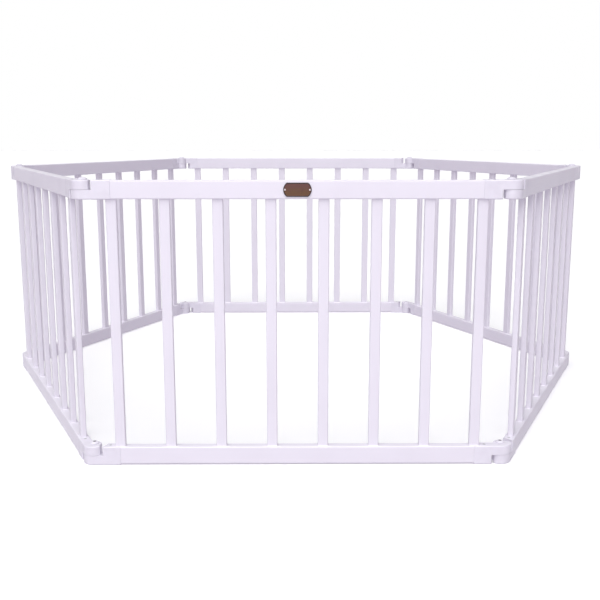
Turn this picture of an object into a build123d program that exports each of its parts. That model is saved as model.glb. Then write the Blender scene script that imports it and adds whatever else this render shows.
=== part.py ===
from build123d import *
import math
import os

# Hexagonal slatted playpen: six equal panels, hinged edge to edge by pins through interleaved knuckles.
# All sizes are in millimetres. X runs left to right, Y from the front panel to the back one, Z up.
# The origin is on the floor in the middle of the playpen.

# ---- overall ----
pin_spacing = 990.0  # hinge pin to hinge pin along one panel
side_corner_angle = 129.4  # inside angle at the left and right corners, in degrees
frame_height = 685.0  # floor to the top face of the top connectors

# ---- rails ----
rail_height = 43.0
rail_thickness = 25.5
rail_edge_radius = 3.0
foot_drop = 3.0  # the bottom connectors reach this far below the bottom rail and are the feet

# ---- slats ----
slat_count = 8
slat_width = 25.0
slat_thickness = 14.0
slat_edge_radius = 3.0
first_slat_from_pin = 67.0
mortise_depth = 18.0
mortise_clearance = 0.1

# ---- connectors: a sleeve over the rail's tenon, and half of a hinge ----
sleeve_wall = 2.4
sleeve_proud = 0.75  # the sleeve stands this far outside the rail all round
sleeve_end_from_pin = 67.5
rim_radius = 3.0  # the sleeve's long edges and the knuckle's rim
sleeve_end_radius = 1.0  # round the sleeve's end on the rail
hollow_rim_radius = 3.0  # the upright edges by the other panel's knuckle
tenon_clearance = 0.15
tenon_end_gap = 1.0
sleeve_end_wall = 2.5  # between the hollow and the socket
slat_notch_clearance = 0.3

# ---- hinge ----
knuckle_radius = 17.0
knuckle_axial_gap = 0.6
knuckle_web_radius = 4.0
knuckle_end_radius = 4.0
knuckle_wrap = 8.0  # the knuckle's far side lies this far inside the pin's axis
swing_gap = 6.0  # from a knuckle's outer round to the hollow that it turns in
pin_inset = 0.5  # the pin's axis lies this far inside the connectors' inner faces
pin_radius = 4.9
pin_clearance = 0.08
pin_end_recess = 3.0  # the pin stops this far above the bottom of the lower knuckle
cap_radius = 11.0
cap_rim_height = 1.6
cap_height = 6.5
cap_recess_radius = 4.2
cap_recess_depth = 3.0

# ---- countersunk screws through the connectors into the tenons ----
screw_from_tenon_end = 4.5
screw_head_radius = 3.8
screw_radius = 2.0
screw_head_height = 1.8
screw_length = 20.0
screw_clearance = 0.05
screw_slot_width = 1.0
screw_slot_depth = 0.8

# ---- nameplate ----
plate_length = 65.0
plate_straight_length = 49.0
plate_height = 32.0
plate_thickness = 2.5
plate_edge_radius = 0.6
plate_nail_from_middle = 28.5
nail_radius = 0.9
nail_head_radius = 2.2
nail_head_height = 1.1
nail_length = 14.0
nail_clearance = 0.05

# ---- worked out from the above ----
# In a panel's own frame X runs along it from its left pin as seen from outside,
# Y points into the playpen and the pins' axes are at Y = 0.
sleeve_inner = -pin_inset
sleeve_thickness = rail_thickness + 2 * sleeve_proud
sleeve_outer = sleeve_inner - sleeve_thickness
panel_middle = (sleeve_inner + sleeve_outer) / 2
rail_outer = panel_middle - rail_thickness / 2
outer_round = -sleeve_outer  # the knuckles' round outside, about the pin and flush with the sleeves
hollow_radius = outer_round + swing_gap
socket_end = hollow_radius + sleeve_end_wall
tenon_start = socket_end + tenon_end_gap
screw_from_pin = tenon_start + screw_from_tenon_end
socket_thickness = sleeve_thickness - 2 * sleeve_wall
tenon_thickness = socket_thickness - 2 * tenon_clearance
tenon_step = (rail_thickness - tenon_thickness) / 2
slat_pitch = (pin_spacing - 2 * first_slat_from_pin) / (slat_count - 1)
bore_radius = pin_radius + pin_clearance

bottom_rail_low = foot_drop
top_rail_low = frame_height - sleeve_proud - rail_height
slat_low = bottom_rail_low + rail_height - mortise_depth
slat_high = top_rail_low + mortise_depth

half_side_angle = math.radians(side_corner_angle / 2)
half_depth = pin_spacing * math.sin(half_side_angle)
half_front = pin_spacing / 2
half_width = half_front + pin_spacing * math.cos(half_side_angle)


def block(x_low, x_high, y_low, y_high, z_low, z_high):
    """A box between two corners."""
    size = (x_high - x_low, y_high - y_low, z_high - z_low)
    middle = ((x_low + x_high) / 2, (y_low + y_high) / 2, (z_low + z_high) / 2)
    return Pos(*middle) * Box(*size)


def disc(x, y, z_low, z_high, radius):
    """An upright cylinder."""
    return Pos(x, y, (z_low + z_high) / 2) * Cylinder(radius, z_high - z_low)


def slat_positions():
    return [first_slat_from_pin + i * slat_pitch for i in range(slat_count)]


def slat_section(clearance):
    return RectangleRounded(
        slat_width + 2 * clearance,
        slat_thickness + 2 * clearance,
        slat_edge_radius + clearance,
    )


def slat(x):
    return Pos(x, panel_middle, slat_low) * extrude(slat_section(0), slat_high - slat_low)


def screw_profile(clearance):
    """Half section of a countersunk screw, its head's top at Z = 0 and its tip downwards."""
    head = screw_head_radius + clearance
    shank = screw_radius + clearance
    tip = -screw_length - clearance
    outline = Polyline(
        (0, 0), (head, 0), (shank, -screw_head_height), (shank, tip), (0, tip), close=True
    )
    return make_face(Plane.XZ * outline)


def screw_solid(clearance):
    return revolve(screw_profile(clearance), Axis.Z)


def rail(z_low, slats_above):
    """A rail with a stepped tenon at each end, a blind mortise for each slat and two screw holes."""
    z_high = z_low + rail_height
    y_low = rail_outer
    y_high = rail_outer + rail_thickness
    right_shoulder = pin_spacing - sleeve_end_from_pin
    full = block(sleeve_end_from_pin, right_shoulder, y_low, y_high, z_low, z_high)
    full = fillet(full.edges().filter_by(Axis.X), rail_edge_radius)
    tenons = block(
        tenon_start,
        pin_spacing - tenon_start,
        y_low + tenon_step,
        y_high - tenon_step,
        z_low + tenon_step,
        z_high - tenon_step,
    )
    made = full + tenons
    mortise_low = z_high - mortise_depth if slats_above else z_low - 1
    for x in slat_positions():
        made -= Pos(x, panel_middle, mortise_low) * extrude(
            slat_section(mortise_clearance), mortise_depth + 1
        )
    for x in (screw_from_pin, pin_spacing - screw_from_pin):
        made -= Pos(x, panel_middle, z_high + sleeve_proud) * screw_solid(screw_clearance)
    return made


def connector_outline():
    """Plan of the connector at a panel's left end, with the pin at 0, 0."""
    web = knuckle_web_radius
    end = knuckle_end_radius
    reach = knuckle_radius + web
    right_web_y = sleeve_inner + web
    right_web_x = math.sqrt(reach**2 - right_web_y**2)
    right_touch = math.degrees(math.atan2(right_web_y, right_web_x))
    left_web_y = knuckle_wrap + web
    left_web_x = -math.sqrt(reach**2 - left_web_y**2)
    left_touch = math.degrees(math.atan2(left_web_y, -left_web_x))
    end_y = knuckle_wrap - end
    end_x = -math.sqrt((outer_round - end) ** 2 - end_y**2)
    end_touch = math.degrees(math.atan2(-end_y, -end_x))  # below 0 where the end lies inside the axis
    edges = [
        Line((sleeve_end_from_pin, sleeve_outer), (sleeve_end_from_pin, sleeve_inner)),
        Line((sleeve_end_from_pin, sleeve_inner), (right_web_x, sleeve_inner)),
        CenterArc((right_web_x, right_web_y), web, 180 + right_touch, 90 - right_touch),
        CenterArc((0, 0), knuckle_radius, right_touch, 180 - left_touch - right_touch),
        CenterArc((left_web_x, left_web_y), web, 270, 90 - left_touch),
        Line((left_web_x, knuckle_wrap), (end_x, knuckle_wrap)),
        CenterArc((end_x, end_y), end, 90, 90 + end_touch),
        CenterArc((0, 0), outer_round, 180 + end_touch, 90 - end_touch),
        Line((0, sleeve_outer), (sleeve_end_from_pin, sleeve_outer)),
    ]
    return make_face(edges)


def swing_outline():
    """Plan of the room for the other panel's knuckle: round about the pin, with eased upright edges."""
    ease = hollow_rim_radius
    inner_y = sleeve_inner - ease
    outer_y = sleeve_outer + ease
    inner_x = math.sqrt((hollow_radius + ease) ** 2 - inner_y**2)
    outer_x = math.sqrt((hollow_radius + ease) ** 2 - outer_y**2)
    inner_angle = math.degrees(math.atan2(inner_y, inner_x))
    outer_angle = math.degrees(math.atan2(outer_y, outer_x))
    left = -hollow_radius
    low = -hollow_radius
    high = hollow_radius
    edges = [
        Line((inner_x, high), (inner_x, sleeve_inner)),
        CenterArc((inner_x, inner_y), ease, 90, 90 + inner_angle),
        CenterArc((0, 0), hollow_radius, outer_angle, inner_angle - outer_angle),
        CenterArc((outer_x, outer_y), ease, 180 + outer_angle, 90 - outer_angle),
        Line((outer_x, sleeve_outer), (outer_x, low)),
        Line((outer_x, low), (left, low)),
        Line((left, low), (left, high)),
        Line((left, high), (inner_x, high)),
    ]
    return make_face(edges)


def whole_connector(z_low, z_high):
    """A connector before anything is cut from it, its knuckle as high as its sleeve."""
    made = Pos(0, 0, z_low) * extrude(connector_outline(), z_high - z_low)
    levels = made.edges().filter_by(Plane.XY).group_by(Axis.Z)
    rims = [e for e in levels[0] + levels[-1] if e.center().X < sleeve_end_from_pin - 0.01]
    made = fillet(rims, rim_radius)
    return fillet(made.faces().sort_by(Axis.X)[-1].edges(), sleeve_end_radius)


def connector(rail_low, drop, upper_knuckle, slats_above):
    """A connector for a panel's left end. drop is how far it reaches below the rail's underside."""
    z_low = rail_low - drop
    z_high = rail_low + rail_height + sleeve_proud
    middle = (z_low + z_high) / 2
    made = whole_connector(z_low, z_high)
    room_height = (z_high - z_low + knuckle_axial_gap) / 2 + 1
    room_low = z_low - 1 if upper_knuckle else z_high + 1 - room_height
    made -= Pos(0, 0, room_low) * extrude(swing_outline(), room_height)
    made -= disc(0, 0, z_low - 1, z_high + 1, bore_radius)
    made -= block(
        socket_end,
        sleeve_end_from_pin + 1,
        panel_middle - socket_thickness / 2,
        panel_middle + socket_thickness / 2,
        rail_low + tenon_step - tenon_clearance,
        rail_low + rail_height - tenon_step + tenon_clearance,
    )
    half_notch = slat_thickness / 2 + slat_notch_clearance
    made -= block(
        first_slat_from_pin - slat_width / 2 - slat_notch_clearance,
        sleeve_end_from_pin + slat_width,
        panel_middle - half_notch,
        panel_middle + half_notch,
        middle if slats_above else z_low - 1,
        z_high + 1 if slats_above else middle,
    )
    made -= Pos(screw_from_pin, panel_middle, z_high) * screw_solid(screw_clearance)
    return made


def at_right_end(left_made):
    """The mirror image of a left-end piece, moved to the panel's right pin."""
    return Pos(pin_spacing, 0, 0) * mirror(left_made, about=Plane.YZ)


def hinge_pin(rail_low, drop):
    """A pin with a domed cap on the upper knuckle, at 0, 0."""
    z_low = rail_low - drop + pin_end_recess
    z_high = rail_low + rail_height + sleeve_proud
    dome_rise = cap_height - cap_rim_height
    dome_radius = (cap_radius**2 + dome_rise**2) / (2 * dome_rise)
    rim_angle = math.degrees(math.asin(cap_radius / dome_radius))
    profile = [
        Line((0, 0), (cap_radius, 0)),
        Line((cap_radius, 0), (cap_radius, cap_rim_height)),
        CenterArc((0, cap_height - dome_radius), dome_radius, 90 - rim_angle, rim_angle),
        Line((0, cap_height), (0, 0)),
    ]
    cap = revolve(Plane.XZ * make_face(profile), Axis.Z)
    cap -= disc(0, 0, cap_height - cap_recess_depth, cap_height + 1, cap_recess_radius)
    shank = disc(0, 0, z_low, z_high + cap_rim_height, pin_radius)
    return shank + Pos(0, 0, z_high) * cap


def connector_screw(x, rail_low):
    """A slotted countersunk screw, its head flush with the connector's top face."""
    made = screw_solid(0)
    made -= Pos(0, 0, -screw_slot_depth / 2) * Box(
        2 * screw_head_radius, screw_slot_width, screw_slot_depth
    )
    return Pos(x, panel_middle, rail_low + rail_height + sleeve_proud) * made


def nameplate_and_nails():
    """An oblong plate with bowed ends on the front top rail, held by a nail at each end."""
    half_height = plate_height / 2
    half_straight = plate_straight_length / 2
    half_length = plate_length / 2
    left_side = ThreePointArc(
        (-half_straight, half_height), (-half_length, 0), (-half_straight, -half_height)
    )
    right_side = ThreePointArc(
        (half_straight, -half_height), (half_length, 0), (half_straight, half_height)
    )
    bottom_side = Line((-half_straight, -half_height), (half_straight, -half_height))
    top_side = Line((half_straight, half_height), (-half_straight, half_height))
    plate = extrude(make_face([left_side, bottom_side, right_side, top_side]), plate_thickness)
    plate = fillet(plate.faces().sort_by(Axis.Z)[-1].edges(), plate_edge_radius)
    dome = math.atan2(nail_head_height, nail_head_radius)
    head_sphere = nail_head_radius / math.sin(2 * dome)
    nails = []
    for x in (-plate_nail_from_middle, plate_nail_from_middle):
        hole = nail_radius + nail_clearance
        plate -= disc(x, 0, -1, plate_thickness + 1, hole)
        ball = Pos(x, 0, plate_thickness + nail_head_height - head_sphere) * Sphere(head_sphere)
        above = block(x - nail_length, x + nail_length, -nail_length, nail_length,
                      plate_thickness, plate_thickness + nail_length)
        shank = disc(x, 0, plate_thickness - nail_length, plate_thickness + 0.1, nail_radius)
        nails.append((ball & above) + shank)
    # stood up on the rail's outer face: the plate's own X stays along the rail, its Z points outwards
    upright = Pos(pin_spacing / 2, rail_outer, top_rail_low + rail_height / 2) * Rot(90, 0, 0)
    return upright * plate, [upright * nail for nail in nails]


def nail_holes():
    """What the nails need cut from the front top rail."""
    middle_z = top_rail_low + rail_height / 2
    depth = nail_length - plate_thickness + nail_clearance
    holes = []
    for x in (-plate_nail_from_middle, plate_nail_from_middle):
        hole = Cylinder(nail_radius + nail_clearance, 2 * depth)
        holes.append(Pos(pin_spacing / 2 + x, rail_outer, middle_z) * Rot(90, 0, 0) * hole)
    return holes


# ---- one panel, in its own frame ----
rails = {"top": rail(top_rail_low, False), "bottom": rail(bottom_rail_low, True)}
levels = {
    "top": {"rail_low": top_rail_low, "drop": sleeve_proud, "slats_above": False},
    "bottom": {"rail_low": bottom_rail_low, "drop": foot_drop, "slats_above": True},
}
pieces = {}
for level, place in levels.items():
    pieces[f"{level}_left_connector"] = connector(upper_knuckle=False, **place)
    pieces[f"{level}_right_connector"] = at_right_end(connector(upper_knuckle=True, **place))
    pieces[f"{level}_rail"] = rails[level]
pieces["slats"] = Compound([slat(x) for x in slat_positions()])
pieces["hinge_pins"] = Compound(
    [Pos(pin_spacing, 0, 0) * hinge_pin(p["rail_low"], p["drop"]) for p in levels.values()]
)
pieces["connector_screws"] = Compound(
    [
        connector_screw(x, p["rail_low"])
        for p in levels.values()
        for x in (screw_from_pin, pin_spacing - screw_from_pin)
    ]
)

# ---- the six panels, counter-clockwise from the front one as seen from above ----
corners = [
    (-half_front, -half_depth),
    (half_front, -half_depth),
    (half_width, 0),
    (half_front, half_depth),
    (-half_front, half_depth),
    (-half_width, 0),
]
panel_names = ["front", "right_front", "right_back", "back", "left_back", "left_front"]

os.makedirs("parts", exist_ok=True)
for number, panel in enumerate(panel_names):
    left_x, left_y = corners[number]
    right_x, right_y = corners[(number + 1) % len(corners)]
    heading = math.degrees(math.atan2(right_y - left_y, right_x - left_x))
    place = Pos(left_x, left_y, 0) * Rot(0, 0, heading)
    for name, piece in pieces.items():
        if panel == "front" and name == "top_rail":
            for hole in nail_holes():
                piece = piece - hole
        export_step(place * piece, f"parts/{panel}_{name}.step")
    if panel == "front":
        plate, nails = nameplate_and_nails()
        export_step(place * plate, "parts/nameplate.step")
        export_step(place * Compound(nails), "parts/nameplate_nails.step")

print("half width", round(half_width, 3), "half depth", round(half_depth, 3))
print("slat pitch", round(slat_pitch, 3), "gap between slats", round(slat_pitch - slat_width, 3))
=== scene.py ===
import math

import bpy
import numpy as np
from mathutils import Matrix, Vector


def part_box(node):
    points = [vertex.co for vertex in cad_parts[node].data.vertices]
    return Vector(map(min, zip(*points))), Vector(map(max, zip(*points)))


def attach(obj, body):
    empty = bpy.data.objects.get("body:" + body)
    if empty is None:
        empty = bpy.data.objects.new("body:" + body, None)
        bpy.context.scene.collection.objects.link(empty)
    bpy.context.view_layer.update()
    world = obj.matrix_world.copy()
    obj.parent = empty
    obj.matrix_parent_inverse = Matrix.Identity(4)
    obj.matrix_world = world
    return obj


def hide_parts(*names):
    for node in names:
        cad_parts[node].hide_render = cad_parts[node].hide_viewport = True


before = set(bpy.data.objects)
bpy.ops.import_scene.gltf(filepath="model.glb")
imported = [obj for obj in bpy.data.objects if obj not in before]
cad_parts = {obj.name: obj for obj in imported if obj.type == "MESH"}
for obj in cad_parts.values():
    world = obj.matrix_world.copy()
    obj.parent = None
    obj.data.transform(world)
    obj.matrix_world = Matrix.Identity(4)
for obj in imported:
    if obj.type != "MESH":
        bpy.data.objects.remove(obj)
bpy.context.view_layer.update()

mm = 0.001
rng = np.random.default_rng(17)

# Each panel has its own frame: x from its left pin to its right pin as seen from outside,
# y into the playpen, z up. The panels follow each other counter-clockwise seen from above.
panelNames = ["front", "right_front", "right_back", "back", "left_back", "left_front"]


def pinPlace(panel):  # the pin at a panel's right end, from the middle of its box
    low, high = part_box(panel + "_hinge_pins")
    return np.array([low.x + high.x, low.y + high.y]) / 2


rightPins = {panel: pinPlace(panel) for panel in panelNames}
leftPins = {panel: rightPins[panelNames[i - 1]] for i, panel in enumerate(panelNames)}


def frontBox(node):  # a front panel node's box in that panel's frame, which isn't turned
    low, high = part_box("front_" + node)
    start = np.array([*leftPins["front"], 0.0])
    return np.array(low) - start, np.array(high) - start


panelLength = float(rightPins["front"][0] - leftPins["front"][0])
rails = {level: frontBox(level + "_rail") for level in ("top", "bottom")}
connectors = {level: frontBox(level + "_left_connector") for level in ("top", "bottom")}
slatsLow, slatsHigh = frontBox("slats")
pinsLow, pinsHigh = frontBox("hinge_pins")
screwsLow, screwsHigh = frontBox("connector_screws")


def place(points, panel):
    # turns the x axis to the direction from the panel's left pin to its right one,
    # and moves the origin to the left pin
    along = (rightPins[panel] - leftPins[panel]) / panelLength
    turn = np.array([[along[0], -along[1]], [along[1], along[0]]])
    placed = points.copy()
    placed[:, :2] = points[:, :2] @ turn.T + leftPins[panel]
    return placed


# Outlines are closed and counter-clockwise, kept as points and outward normals.
def arc(centre, radius, start, end, steps):
    # points at equal angles from start to end in degrees, the normals pointing away from the centre
    angle = np.radians(np.linspace(start, end, steps + 1))
    normals = np.stack([np.cos(angle), np.sin(angle)], -1)
    return np.asarray(centre) + radius * normals, normals


def joinArcs(arcs):  # straight sides are the gaps between one arc's end and the next one's start
    return tuple(np.concatenate(parts) for parts in zip(*arcs))


def roundedRectangle(width, height, radius, steps):
    # four quarter circles, about the points that are one radius in from both sides of a corner
    x, y = width / 2 - radius, height / 2 - radius
    corners = [(x, y, 0), (-x, y, 90), (-x, -y, 180), (x, -y, 270)]
    return joinArcs([arc((a, b), radius, s, s + 90, steps) for a, b, s in corners])


def circle(steps):  # (cos t, sin t) for equal steps of t, once around
    return arc((0, 0), 1.0, 0, 360, steps)[0][:-1]


# A shell is rings of equal point counts joined by quads, each end closed by one flat face.
def ringShell(rings):
    # point j of ring i has the number i * around + j
    count, around = rings.shape[:2]
    first = np.arange(count - 1)[:, None] * around
    here = np.arange(around)[None]
    after = (here + 1) % around
    quads = [first + here, first + after, first + around + after, first + around + here]
    last = (count - 1) * around
    caps = [list(range(around - 1, -1, -1)), list(range(last, last + around))]
    return rings.reshape(-1, 3), np.stack(quads, -1).reshape(-1, 4).tolist() + caps


def loft(outline, insets, heights):
    # ring i is the outline moved in along its normals by insets[i] and raised to heights[i]
    points, normals = outline
    flat = points[None] - np.asarray(insets)[:, None, None] * normals[None]
    raised = np.broadcast_to(np.asarray(heights)[:, None, None], flat.shape[:2] + (1,))
    return ringShell(np.concatenate([flat, raised], -1))


def turned(profile, around):  # a half section of radius and height turned about an upright axis
    rings = profile[:, None, :1] * circle(around)[None]
    heights = np.broadcast_to(profile[:, None, 1:], rings.shape[:2] + (1,))
    return ringShell(np.concatenate([rings, heights], -1))


def gather(shells):  # several shells as one list of points and one of faces
    starts = np.cumsum([0] + [len(points) for points, faces in shells])
    faces = [[start + i for i in face] for start, shell in zip(starts, shells) for face in shell[1]]
    return np.concatenate([points for points, faces in shells]), faces


def moved(shell, offset):
    return shell[0] + np.asarray(offset), shell[1]


def easedEnds(low, high, radius, steps):
    # insets and heights from low to high, with a quarter circle at each end
    angle = np.linspace(0, math.pi / 2, steps + 1)
    inset = radius * (1 - np.sin(angle))
    rise = radius * (1 - np.cos(angle))
    return np.concatenate([inset, inset[::-1]]), np.concatenate([low + rise, high - rise[::-1]])


def domed(out, radius, rise, top):
    # the part of a ball that peaks at top and has the given radius at rise below it: at each
    # distance out from the axis its height is top - ball + sqrt(ball^2 - out^2)
    ball = (radius**2 + rise**2) / (2 * rise)
    return np.stack([out, top - ball + np.sqrt(ball**2 - out**2)], -1)


def makePiece(name, body, shell, look, replaced, attributes=None):
    points, faces = shell
    mesh = bpy.data.meshes.new(name)
    mesh.from_pydata(points.tolist(), [], faces)
    for key, values in (attributes or {}).items():
        kind, field = ("FLOAT_VECTOR", "vector") if values.ndim == 2 else ("FLOAT", "value")
        layer = mesh.attributes.new(key, kind, "POINT")
        layer.data.foreach_set(field, values.astype(np.float32).ravel())
    mesh.polygons.foreach_set("use_smooth", np.ones(len(mesh.polygons), bool))
    mesh.materials.append(look)
    mesh.update()
    piece = bpy.data.objects.new(name, mesh)
    bpy.context.scene.collection.objects.link(piece)
    flats = piece.modifiers.new("flat faces stay flat", "WEIGHTED_NORMAL")
    flats.keep_sharp = True
    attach(piece, body)
    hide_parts(*replaced)
    return piece


class Signal:
    # a node's output, so that sums and products of it can be written as such
    def __init__(self, finish, output):
        self.finish = finish
        self.output = output

    def __add__(self, other):
        return self.finish.maths("ADD", self, other)

    def __mul__(self, other):
        return self.finish.maths("MULTIPLY", self, other)

    __radd__ = __add__
    __rmul__ = __mul__


class Finish:
    # a material, or the studio's world, being wired up
    def __init__(self, owner, shader="Principled BSDF"):
        owner.use_nodes = True
        self.owner = owner
        self.tree = owner.node_tree
        self.shader = self.tree.nodes[shader]

    def feed(self, socket, value):
        if isinstance(value, Signal):
            self.tree.links.new(value.output, socket)
        else:
            socket.default_value = value

    def node(self, kind, settings=None, inputs=None, output=0):
        made = self.tree.nodes.new(kind)
        for key, value in (settings or {}).items():
            setattr(made, key, value)
        for key, value in (inputs or {}).items():
            self.feed(made.inputs[key], value)
        return Signal(self, made.outputs[output])

    def maths(self, operation, first, second):
        return self.node("ShaderNodeMath", {"operation": operation}, {0: first, 1: second})

    def blend(self, factor, first, second):  # of two colours, first at 0 and second at 1
        inputs = {0: factor, 6: first, 7: second}
        return self.node("ShaderNodeMix", {"data_type": "RGBA"}, inputs, 2)

    def place(self):  # where a point is on the object, in metres
        return self.node("ShaderNodeTexCoord", output="Object")

    def attribute(self, name, output="Vector"):
        return self.node("ShaderNodeAttribute", {"attribute_name": name}, output=output)

    def stretched(self, vector, factors):
        inputs = {0: vector, 1: factors}
        return self.node("ShaderNodeVectorMath", {"operation": "MULTIPLY"}, inputs)

    def noise(self, vector, scale=1.0, detail=2.0, roughness=0.5):
        inputs = {"Vector": vector, "Scale": scale, "Detail": detail, "Roughness": roughness}
        return self.node("ShaderNodeTexNoise", {"noise_dimensions": "3D"}, inputs)

    def ramp(self, value, span, result=(0.0, 1.0)):
        # a smooth step from result[0] to result[1] as the value goes through the span
        inputs = {"Value": value, "From Min": span[0], "From Max": span[1],
                  "To Min": result[0], "To Max": result[1]}
        return self.node("ShaderNodeMapRange", {"interpolation_type": "SMOOTHSTEP"}, inputs)

    def bump(self, height, depth, under=None):
        inputs = {"Height": height, "Distance": depth, "Strength": 1.0}
        if under is not None:
            inputs["Normal"] = under
        return self.node("ShaderNodeBump", None, inputs)

    def finished(self, **values):  # socket names with _ for spaces
        for key, value in values.items():
            self.feed(self.shader.inputs[key.replace("_", " ")], value)
        return self.owner


def newFinish(name):
    return Finish(bpy.data.materials.new(name))


# Patterns are given in marks per metre: three numbers are along the grain and across it both ways.
# A span is where a noise, which runs from 0 to 1, starts and stops to count.
paint = {
    "white": (0.785, 0.752, 0.835, 1),
    "thin": (0.745, 0.71, 0.79, 1),  # where the brush left less of it
    "brush": (14.0, 900.0, 900.0),
    "brushDepth": 0.022 * mm,
    "pores": (30.0, 420.0, 420.0),
    "poreShare": 0.5,  # of the brush marks' depth
    "peel": 700.0,
    "peelDepth": 0.012 * mm,
    "wave": (9.0, 26.0, 26.0),
    "waveDepth": 0.16 * mm,
    "cloud": 7.0,
    "poreSpan": (0.62, 0.80),
    "poreWear": 0.45,
    "cloudSpan": (0.45, 0.75),
    "cloudWear": 0.4,
    "cloudShare": 0.4,  # of what makes the roughness uneven; the rest is the brush marks
    "roughnessSpan": (0.3, 0.7),
    "roughness": (0.36, 0.50),  # where glossiest and dullest
}


def paintedWood(name):
    # brush marks and pores along the grain, over a slow wave and under a fine peel;
    # the paint is thinner on the pores and in cloudy patches
    look = newFinish(name)
    grain = look.attribute("grain")
    brush = look.noise(look.stretched(grain, paint["brush"]), detail=3.0, roughness=0.6)
    pores = look.noise(look.stretched(grain, paint["pores"]), detail=4.0, roughness=0.65)
    peel = look.noise(grain, paint["peel"])
    wave = look.noise(look.stretched(grain, paint["wave"]), detail=1.0)
    cloud = look.noise(grain, paint["cloud"])
    wornPores = look.ramp(pores, paint["poreSpan"]) * paint["poreWear"]
    wornPatches = look.ramp(cloud, paint["cloudSpan"]) * paint["cloudWear"]
    colour = look.blend(wornPores + wornPatches, paint["white"], paint["thin"])
    uneven = brush * (1 - paint["cloudShare"]) + cloud * paint["cloudShare"]
    roughness = look.ramp(uneven, paint["roughnessSpan"], paint["roughness"])
    normal = look.bump(wave, paint["waveDepth"])
    normal = look.bump(brush + pores * paint["poreShare"], paint["brushDepth"], normal)
    normal = look.bump(peel, paint["peelDepth"], normal)
    return look.finished(Base_Color=colour, Roughness=roughness, Normal=normal,
                         Specular_IOR_Level=0.5)


plastic = {
    "white": (0.765, 0.735, 0.82, 1),
    "shade": (0.73, 0.698, 0.782, 1),
    "shadeSpan": (0.35, 0.7),
    # painted shade: the near-black colour put inside a cap's socket to stand for the shade in that
    # recess
    "socket": (0.055, 0.042, 0.052, 1),
    "spark": 2200.0,  # the fine texture left by the mould
    "sparkDepth": 0.010 * mm,
    "flow": 38.0,  # the slow unevenness of a moulding
    "flowDepth": 0.10 * mm,
    "roughnessSpan": (0.35, 0.65),
    "sleeveRoughness": (0.34, 0.46),
    "capRoughness": (0.22, 0.34),
}


def mouldedPlastic(name, roughnessRange):
    # the attribute "socket" is 1 in a cap's socket and 0 elsewhere; there the near-black colour is
    # painted shade, standing for the shade inside the recess
    look = newFinish(name)
    place3d = look.place()
    spark = look.noise(place3d, plastic["spark"], roughness=0.6)
    flow = look.noise(place3d, plastic["flow"], detail=1.5)
    white = look.blend(look.ramp(flow, plastic["shadeSpan"]), plastic["white"], plastic["shade"])
    # painted shade: the socket's points take the near-black colour in place of the plastic's white
    colour = look.blend(look.attribute("socket", "Fac"), white, plastic["socket"])
    roughness = look.ramp(spark * 0.5 + flow * 0.5, plastic["roughnessSpan"], roughnessRange)
    normal = look.bump(spark, plastic["sparkDepth"], look.bump(flow, plastic["flowDepth"]))
    return look.finished(Base_Color=colour, Roughness=roughness, Normal=normal,
                         Specular_IOR_Level=0.5)


steel = {
    "screwBright": (0.60, 0.60, 0.62, 1),
    "screwDark": (0.42, 0.42, 0.45, 1),
    "nailBright": (0.78, 0.70, 0.70, 1),
    "nailDark": (0.60, 0.52, 0.53, 1),
    "cloud": 900.0,
    "darkSpan": (0.35, 0.7),
    "fine": 5200.0,
    "fineDepth": 0.006 * mm,
    "roughnessSpan": (0.3, 0.7),
    "roughness": (0.24, 0.46),
}


def platedSteel(name, bright, dark):  # cloudy plating with a fine grain
    look = newFinish(name)
    place3d = look.place()
    cloud = look.noise(place3d, steel["cloud"], detail=3.0)
    fine = look.noise(place3d, steel["fine"])
    colour = look.blend(look.ramp(cloud, steel["darkSpan"]), bright, dark)
    roughness = look.ramp(fine * 0.5 + cloud * 0.5, steel["roughnessSpan"], steel["roughness"])
    return look.finished(Base_Color=colour, Roughness=roughness, Metallic=1.0,
                         Normal=look.bump(fine, steel["fineDepth"]))


bronze = {
    "field": (0.108, 0.045, 0.017, 1),
    "fieldWarm": (0.105, 0.036, 0.032, 1),
    "warmSpan": (0.5, 1.1),
    "rim": (0.030, 0.014, 0.019, 1),
    "stainSpan": (0.55, 0.8),
    "stain": 0.25,
    "cloud": 130.0,
    "lines": (40.0, 1800.0, 1800.0),
    "lineDepth": 0.0015 * mm,
    "roughnessSpan": (0.35, 0.65),
    "roughness": (0.40, 0.55),
    "metallic": 0.3,
    "coat": 0.1,
    "coatRoughness": 0.25,
}


def brownBronze(name):
    # brushed along the plate, warmer towards its top and stained in patches; the rim is darker
    look = newFinish(name)
    grain = look.attribute("grain")
    rim = look.attribute("rim", "Fac")
    rise = look.attribute("rise", "Fac")
    lines = look.noise(look.stretched(grain, bronze["lines"]))
    cloud = look.noise(grain, bronze["cloud"], detail=4.0, roughness=0.6)
    warm = look.ramp(rise + cloud * 0.5, bronze["warmSpan"])
    field = look.blend(warm, bronze["field"], bronze["fieldWarm"])
    stains = look.ramp(cloud, bronze["stainSpan"]) * bronze["stain"]
    colour = look.blend(rim, look.blend(stains, field, bronze["rim"]), bronze["rim"])
    roughness = look.ramp(lines * 0.5 + cloud * 0.5, bronze["roughnessSpan"], bronze["roughness"])
    return look.finished(Base_Color=colour, Roughness=roughness, Metallic=bronze["metallic"],
                         Normal=look.bump(lines, bronze["lineDepth"]), Coat_Weight=bronze["coat"],
                         Coat_Roughness=bronze["coatRoughness"])


woodLook = paintedWood("satin white paint on wood")
sleeveLook = mouldedPlastic("moulded white plastic", plastic["sleeveRoughness"])
capLook = mouldedPlastic("smooth white plastic with painted socket shade", plastic["capRoughness"])
screwLook = platedSteel("zinc plated screw", steel["screwBright"], steel["screwDark"])
nailLook = platedSteel("nickel plated nail", steel["nailBright"], steel["nailDark"])
plateLook = brownBronze("brown bronze")
print("finishes wired")

grainShift = 5.0  # metres, so that each piece of wood shows another part of the pattern

railShape = {"edge": 3.0 * mm, "steps": 6, "shoulderEdge": 0.7 * mm, "shoulderSteps": 3}


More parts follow.
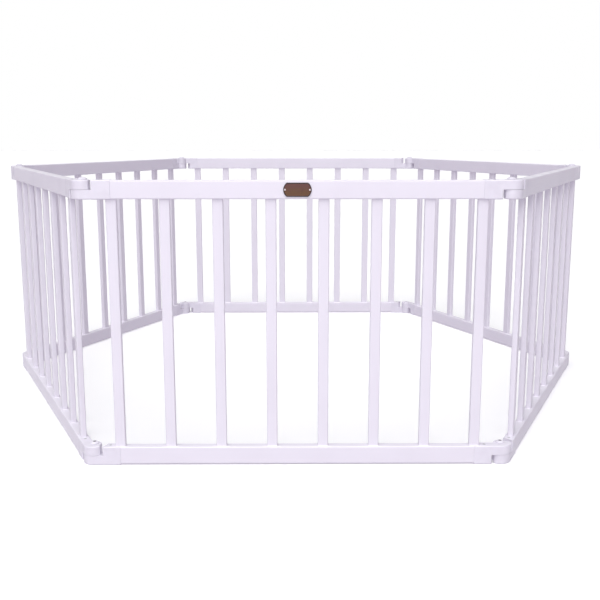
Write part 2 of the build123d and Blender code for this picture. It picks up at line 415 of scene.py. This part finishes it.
def makeRail(panel, level):
    # a rounded rectangle carried along the panel between the connectors' ends
    low, high = rails[level]
    middle = (low + high) / 2
    shoulder = connectors[level][1][0]
    outline = roundedRectangle(high[1] - low[1], high[2] - low[2], railShape["edge"],
                               railShape["steps"])
    insets, along = easedEnds(shoulder, panelLength - shoulder, railShape["shoulderEdge"],
                              railShape["shoulderSteps"])
    points, faces = loft(outline, insets, along)
    laid = points[:, [2, 0, 1]] + [0, middle[1], middle[2]]  # section in y and z, length along x
    grain = laid + rng.uniform(-grainShift, grainShift, 3)
    node = f"{panel}_{level}_rail"
    makePiece(node + "_painted", panel + "_panel", (place(laid, panel), faces), woodLook,
              [node], {"grain": grain})


slatShape = {
    "count": 8,
    "width": 25.0 * mm,
    "edge": 3.0 * mm,
    "steps": 5,
    "bead": 1.3 * mm,  # radius of the paint's bead where a slat enters a rail
    "beadSkirt": 0.3,  # how far into the rail the bead's widest part goes, in radii
    "beadRoot": 3.0,  # and how far in it starts
}


def beadProfile(face):
    # insets and heights: outwards to the bead's radius below the rail's face, then back in
    # by a hollow quarter circle that starts on the face
    bead = slatShape["bead"]
    angle = np.linspace(math.pi / 2, 0, slatShape["steps"] + 1)
    out = bead * (1 - np.cos(angle))
    height = face + bead * (1 - np.sin(angle))
    hidden = [face - slatShape["beadRoot"] * bead, face - slatShape["beadSkirt"] * bead]
    return np.concatenate([[0, -bead], -out]), np.concatenate([hidden, height])


def makeSlats(panel):
    # flat bars, each a rounded rectangle carried up, with a bead of paint at either end
    bottom, top = slatsLow[2], slatsHigh[2]
    insetLow, heightLow = beadProfile(rails["bottom"][1][2])
    insetHigh, heightHigh = beadProfile(-rails["top"][0][2])
    insets = np.concatenate([[0], insetLow, insetHigh[::-1], [0]])
    heights = np.concatenate([[bottom], heightLow, -heightHigh[::-1], [top]])
    count, width = slatShape["count"], slatShape["width"]
    outline = roundedRectangle(width, slatsHigh[1] - slatsLow[1], slatShape["edge"],
                               slatShape["steps"])
    depth = (slatsLow[1] + slatsHigh[1]) / 2
    one = loft(outline, insets, heights)
    middles = np.linspace(slatsLow[0] + width / 2, slatsHigh[0] - width / 2, count)
    points, faces = gather([moved(one, (x, depth, 0)) for x in middles])
    shifts = np.repeat(rng.uniform(-grainShift, grainShift, (count, 3)), len(one[0]), 0)
    grain = points[:, [2, 0, 1]] + shifts  # the grain runs up the slat
    node = panel + "_slats"
    makePiece(node + "_painted", panel + "_panel", (place(points, panel), faces), woodLook,
              [node], {"grain": grain})


pinShape = {
    "shank": 4.9 * mm,
    "tip": 0.8 * mm,
    "endRecess": 3.0 * mm,
    "rim": 1.6 * mm,
    "rimEdge": 0.5 * mm,
    "socket": 4.2 * mm,
    "socketDepth": 3.0 * mm,
    "socketEdge": 0.5 * mm,
    "chamfer": 0.3 * mm,
    "edgeSteps": 4,
    "domeRings": 12,
    "around": 48,
}


def pinProfile(low, seat, top, radius):
    # radius and height of the pin's half section: up the shank, out under the cap, up its rim,
    # over the dome and down the socket; and 1 for the points in the socket, which are coloured as
    # painted shade
    s = pinShape
    chamfer = s["chamfer"]
    turn = np.linspace(0, math.pi / 2, s["edgeSteps"] + 1)
    rise = top - (seat + s["rim"])
    out = np.linspace(radius - s["rimEdge"], s["socket"] + s["socketEdge"], s["domeRings"])
    dome = domed(out, radius, rise, top)
    rimHigh = dome[0, 1] - s["rimEdge"]
    rim = np.stack([radius - s["rimEdge"] * (1 - np.cos(turn)),
                    rimHigh + s["rimEdge"] * np.sin(turn)], -1)
    lip = np.stack([s["socket"] + s["socketEdge"] * (1 - np.sin(turn)),
                    dome[-1, 1] - s["socketEdge"] * (1 - np.cos(turn))], -1)
    floorHigh = top - s["socketDepth"]
    inside = [[s["socket"], lip[-1, 1] - chamfer], [s["socket"], floorHigh + chamfer],
              [s["socket"] - chamfer, floorHigh]]
    profile = np.concatenate([
        [[s["shank"] - s["tip"], low], [s["shank"], low + s["tip"]], [s["shank"], seat]],
        [[radius - chamfer, seat], [radius, seat + chamfer]],
        rim, dome[1:-1], lip, inside,
    ])
    return profile, (np.arange(len(profile)) >= len(profile) - len(inside)) * 1.0


def makePins(panel):  # one through each pair of knuckles at the panel's right end
    radius = (pinsHigh[0] - pinsLow[0]) / 2
    capHeight = pinsHigh[2] - connectors["top"][1][2]
    shells = []
    for level in ("bottom", "top"):
        low = connectors[level][0][2] + pinShape["endRecess"]
        seat = connectors[level][1][2]
        profile, socket = pinProfile(low, seat, seat + capHeight, radius)
        shells.append(moved(turned(profile, pinShape["around"]), (panelLength, 0, 0)))
    points, faces = gather(shells)
    # 1 on the socket's points, which get painted shade, and 0 elsewhere
    socketPaintedShade = np.tile(np.repeat(socket, pinShape["around"]), len(shells))
    node = panel + "_hinge_pins"
    makePiece(node + "_domed", panel + "_panel", (place(points, panel), faces), capLook,
              [node], {"socket": socketPaintedShade})


screwShape = {
    "shank": 2.0 * mm,
    "length": 20.0 * mm,
    "tipLength": 1.0 * mm,
    "tipTaper": 0.6 * mm,
    "headHeight": 1.8 * mm,
    "headEdge": 0.15 * mm,
    "headRim": 0.4 * mm,  # flat, around the face that the cross is cut in
    "slotWidth": 1.3 * mm,
    "slotLength": 4.8 * mm,
    "slotDepth": 1.1 * mm,
    "slotSlope": 0.35 * mm,  # how far the slots' walls lean
    "middle": 0.15 * mm,  # radius of the last ring
    "rings": 11,
    "around": 48,
}


def crossDepth(x, y):
    # how deep the recess is: full inside either arm, with walls that slope over a short way
    s = screwShape

    def inside(a, b):
        across = np.clip((s["slotWidth"] / 2 - np.abs(a)) / s["slotSlope"] + 0.5, 0, 1)
        along = np.clip((s["slotLength"] / 2 - np.abs(b)) / s["slotSlope"] + 0.5, 0, 1)
        return across * along

    return s["slotDepth"] * np.maximum(inside(x, y), inside(y, x))


def screwShell(top, radius):
    # a turned tip, shank and countersunk head, then rings over its face lowered by the cross
    s = screwShape
    unit = circle(s["around"])
    edge = s["headEdge"]
    under = np.array([
        [s["shank"] - s["tipTaper"], -s["length"]],
        [s["shank"], -s["length"] + s["tipLength"]],
        [s["shank"], -s["headHeight"]],
        [radius, -edge],
        [radius - edge, 0],
    ])
    heights = np.broadcast_to(under[:, None, 1:], (len(under), s["around"], 1))
    shank = np.concatenate([under[:, None, :1] * unit[None], heights], -1)
    reach = np.linspace(radius - s["headRim"], s["middle"], s["rings"])
    disc = reach[:, None, None] * unit[None]
    face = np.concatenate([disc, -crossDepth(disc[..., 0], disc[..., 1])[..., None]], -1)
    return moved(ringShell(np.concatenate([shank, face])), (0, 0, top))


def makeScrews(panel):  # one flush with the top of each connector, down into the rail's tenon
    radius = (screwsHigh[1] - screwsLow[1]) / 2
    depth = (screwsHigh[1] + screwsLow[1]) / 2
    fromPin = screwsLow[0] + radius
    shells = []
    for level in ("bottom", "top"):
        one = screwShell(connectors[level][1][2], radius)
        shells += [moved(one, (x, depth, 0)) for x in (fromPin, panelLength - fromPin)]
    points, faces = gather(shells)
    node = panel + "_connector_screws"
    makePiece(node + "_plated", panel + "_panel", (place(points, panel), faces), screwLook,
              [node])


plateShape = {
    "straight": 49.0 * mm,
    "bowSteps": 16,
    "corner": 3.3 * mm,  # more than all the insets together, or the inner rings would fold
    "cornerSteps": 4,
    "rimWidth": 1.8 * mm,
    "rimEdge": 0.5 * mm,
    "edgeSteps": 4,
    "fieldDrop": 0.8 * mm,
    "fieldEdge": 0.4 * mm,
}


def plateOutline(length, height):
    # each end is the arc through the straight edges' ends and the end's middle, and a smaller
    # arc that touches it from inside rounds each corner
    halfHeight = height / 2
    bow = (length - plateShape["straight"]) / 2
    bend = (halfHeight**2 + bow**2) / (2 * bow)
    corner = plateShape["corner"]
    centre = length / 2 - bend
    x = centre + math.sqrt((bend - corner) ** 2 - (halfHeight - corner) ** 2)
    y = halfHeight - corner
    meet = math.degrees(math.atan2(y, x - centre))
    bowSteps, cornerSteps = plateShape["bowSteps"], plateShape["cornerSteps"]
    return joinArcs([
        arc((centre, 0), bend, -meet, meet, bowSteps),
        arc((x, y), corner, meet, 90, cornerSteps),
        arc((-x, y), corner, 90, 180 - meet, cornerSteps),
        arc((-centre, 0), bend, 180 - meet, 180 + meet, bowSteps),
        arc((-x, -y), corner, 180 + meet, 270, cornerSteps),
        arc((x, -y), corner, 270, 360 - meet, cornerSteps),
    ])


def stoodUp(points, middle):  # turns what faced up to face outwards, and moves it
    return np.stack([points[:, 0], -points[:, 2], points[:, 1]], -1) + middle


def makeNameplate():
    # a blank plate with bowed ends: the outline goes up, over a rounded rim, and down
    # a hollow quarter circle to the field
    low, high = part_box("nameplate")
    length, thickness, height = high.x - low.x, high.y - low.y, high.z - low.z
    middle = np.array([(low.x + high.x) / 2, high.y, (low.z + high.z) / 2])
    edge, width, drop = plateShape["rimEdge"], plateShape["rimWidth"], plateShape["fieldDrop"]
    turn = np.linspace(0, math.pi / 2, plateShape["edgeSteps"] + 1)
    outerInset, outerRise = edge * (1 - np.cos(turn)), thickness - edge * (1 - np.sin(turn))
    innerInset, innerRise = width + drop * (1 - np.cos(turn)), thickness - drop * np.sin(turn)
    last = width + drop + plateShape["fieldEdge"]
    insets = np.concatenate([[0], outerInset, innerInset, [last]])
    heights = np.concatenate([[0], outerRise, innerRise, [thickness - drop]])
    points, faces = loft(plateOutline(length, height), insets, heights)
    dark = np.repeat(np.clip(1 - (insets - width) / drop, 0, 1), len(points) // len(insets))
    rise = 0.5 + points[:, 1] / height  # 0 at the plate's bottom and 1 at its top
    makePiece("nameplate_bronze", "front_panel", (stoodUp(points, middle), faces), plateLook,
              ["nameplate"], {"grain": points, "rim": dark, "rise": rise})
    return length, middle, thickness


nailShape = {
    "head": 2.2 * mm,
    "headHeight": 1.1 * mm,
    "headEdge": 0.2 * mm,
    "sunk": 0.4 * mm,
    "middle": 0.2 * mm,  # radius of the last ring
    "rings": 9,
    "fromEnd": 4.0 * mm,
    "around": 32,
}


def makeNails(length, middle, thickness):  # a turned dome near each end of the nameplate
    s = nailShape
    out = np.linspace(s["head"], s["middle"], s["rings"])
    seat = thickness - plateShape["fieldDrop"]
    dome = domed(out, s["head"], s["headHeight"], seat + s["headHeight"])
    under = [[s["head"] - s["headEdge"], seat - s["sunk"]], [s["head"], seat - s["headEdge"]]]
    points, faces = turned(np.concatenate([under, dome]), s["around"])
    upright = stoodUp(points, middle)
    reach = length / 2 - s["fromEnd"]
    shells = [(upright + [side * reach, 0, 0], faces) for side in (-1, 1)]
    makePiece("nameplate_nails_domed", "front_panel", gather(shells), nailLook,
              ["nameplate_nails"])


for panel in panelNames:
    makeRail(panel, "top")
    makeRail(panel, "bottom")
    makeSlats(panel)
    makePins(panel)
    makeScrews(panel)
    for level in ("top", "bottom"):
        for side in ("left", "right"):
            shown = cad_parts[f"{panel}_{level}_{side}_connector"]
            shown.data.materials.clear()
            shown.data.materials.append(sleeveLook)
    print(panel, "panel made")
makeNails(*makeNameplate())
print("nameplate made")

floorShape = {
    "size": 80.0,
    "white": (0.91, 0.91, 0.92, 1),
    "grey": (0.895, 0.895, 0.91, 1),
    "cloud": 1.7,
    "greySpan": (0.3, 0.7),
    "roughness": 0.85,
    "specular": 0.2,
    "glow": 0.16,  # the floor is a light table, so that it stays white under the rails
}


def makeFloor():
    look = newFinish("pale floor")
    cloud = look.noise(look.place(), floorShape["cloud"], detail=3.0)
    grey = look.ramp(cloud, floorShape["greySpan"])
    look.finished(Base_Color=look.blend(grey, floorShape["white"], floorShape["grey"]),
                  Roughness=floorShape["roughness"], Specular_IOR_Level=floorShape["specular"],
                  Emission_Color=(1, 1, 1, 1), Emission_Strength=floorShape["glow"])
    half = floorShape["size"] / 2
    corners = [(-half, -half, 0), (half, -half, 0), (half, half, 0), (-half, half, 0)]
    mesh = bpy.data.meshes.new("floor")
    mesh.from_pydata(corners, [], [(0, 1, 2, 3)])
    mesh.materials.append(look.owner)
    floor = bpy.data.objects.new("floor", mesh)
    bpy.context.scene.collection.objects.link(floor)
    floor.visible_diffuse = False  # its light on the playpen is the world's "below"


surroundings = {
    "horizon": (1.0, 1.0, 1.0, 1),
    "sides": (0.36, 0.26, 0.38, 1),
    "sidesSpan": (0.2, 0.7),  # of the square of the direction's part along x
    "ceiling": (0.20, 0.20, 0.21, 1),
    "ceilingSpan": (0.16, 0.42),  # of the direction's part along z, as is belowSpan
    "below": (0.64, 0.60, 0.68, 1),  # light that comes back up from the floor
    "belowSpan": (-0.08, -0.04),
}


def makeWorld():
    # white ahead and behind, dimmer at both sides and overhead, and the floor's light from below
    s = surroundings
    world = bpy.data.worlds.new("studio")
    bpy.context.scene.world = world
    look = Finish(world, "Background")
    direction = look.node("ShaderNodeTexCoord", output="Generated")
    across = look.node("ShaderNodeSeparateXYZ", None, {0: direction}, "X")
    height = look.node("ShaderNodeSeparateXYZ", None, {0: direction}, "Z")
    around = look.blend(look.ramp(across * across, s["sidesSpan"]), s["horizon"], s["sides"])
    upper = look.blend(look.ramp(height, s["ceilingSpan"]), around, s["ceiling"])
    whole = look.blend(look.ramp(height, s["belowSpan"]), s["below"], upper)
    look.finished(Color=whole, Strength=1.0)


sunLight = {"from": (-0.10, -0.42, 0.90), "spread": 50.0, "strength": 2.6}
keyLight = {"place": (-0.4, -4.3, 1.9), "target": (0, 0, 0.35), "size": 2.4, "power": 37.0}


def addLamp(name, kind, direction, power):  # a lamp shines along its own -Z
    x, y, z = direction
    lamp = bpy.data.lights.new(name, kind)
    lamp.energy = power
    light = bpy.data.objects.new(name, lamp)
    light.rotation_euler = (math.atan2(math.hypot(x, y), -z), 0, math.atan2(-x, y))
    bpy.context.scene.collection.objects.link(light)
    return light


def makeSun():
    light = addLamp("sun", "SUN", [-v for v in sunLight["from"]], sunLight["strength"])
    light.data.angle = math.radians(sunLight["spread"])


def makeKey():
    direction = [t - p for t, p in zip(keyLight["target"], keyLight["place"])]
    light = addLamp("key", "AREA", direction, keyLight["power"])
    light.location = keyLight["place"]
    light.data.shape = "DISK"
    light.data.size = keyLight["size"]


viewpoint = {"place": (-0.008, -2.904, 0.787), "lens": 51.83, "down": 10.86, "right": 0.40}


def makeCamera():
    down, right = math.radians(viewpoint["down"]), math.radians(viewpoint["right"])
    lens = bpy.data.cameras.new("camera")
    lens.lens = viewpoint["lens"]
    camera = bpy.data.objects.new("camera", lens)
    camera.location = viewpoint["place"]
    camera.rotation_euler = (math.pi / 2 - down, 0, -right)
    bpy.context.scene.collection.objects.link(camera)
    bpy.context.scene.camera = camera


makeFloor()
makeWorld()
makeSun()
makeKey()
makeCamera()
bpy.context.scene.view_settings.view_transform = "Standard"
print("floor, lights and camera placed")
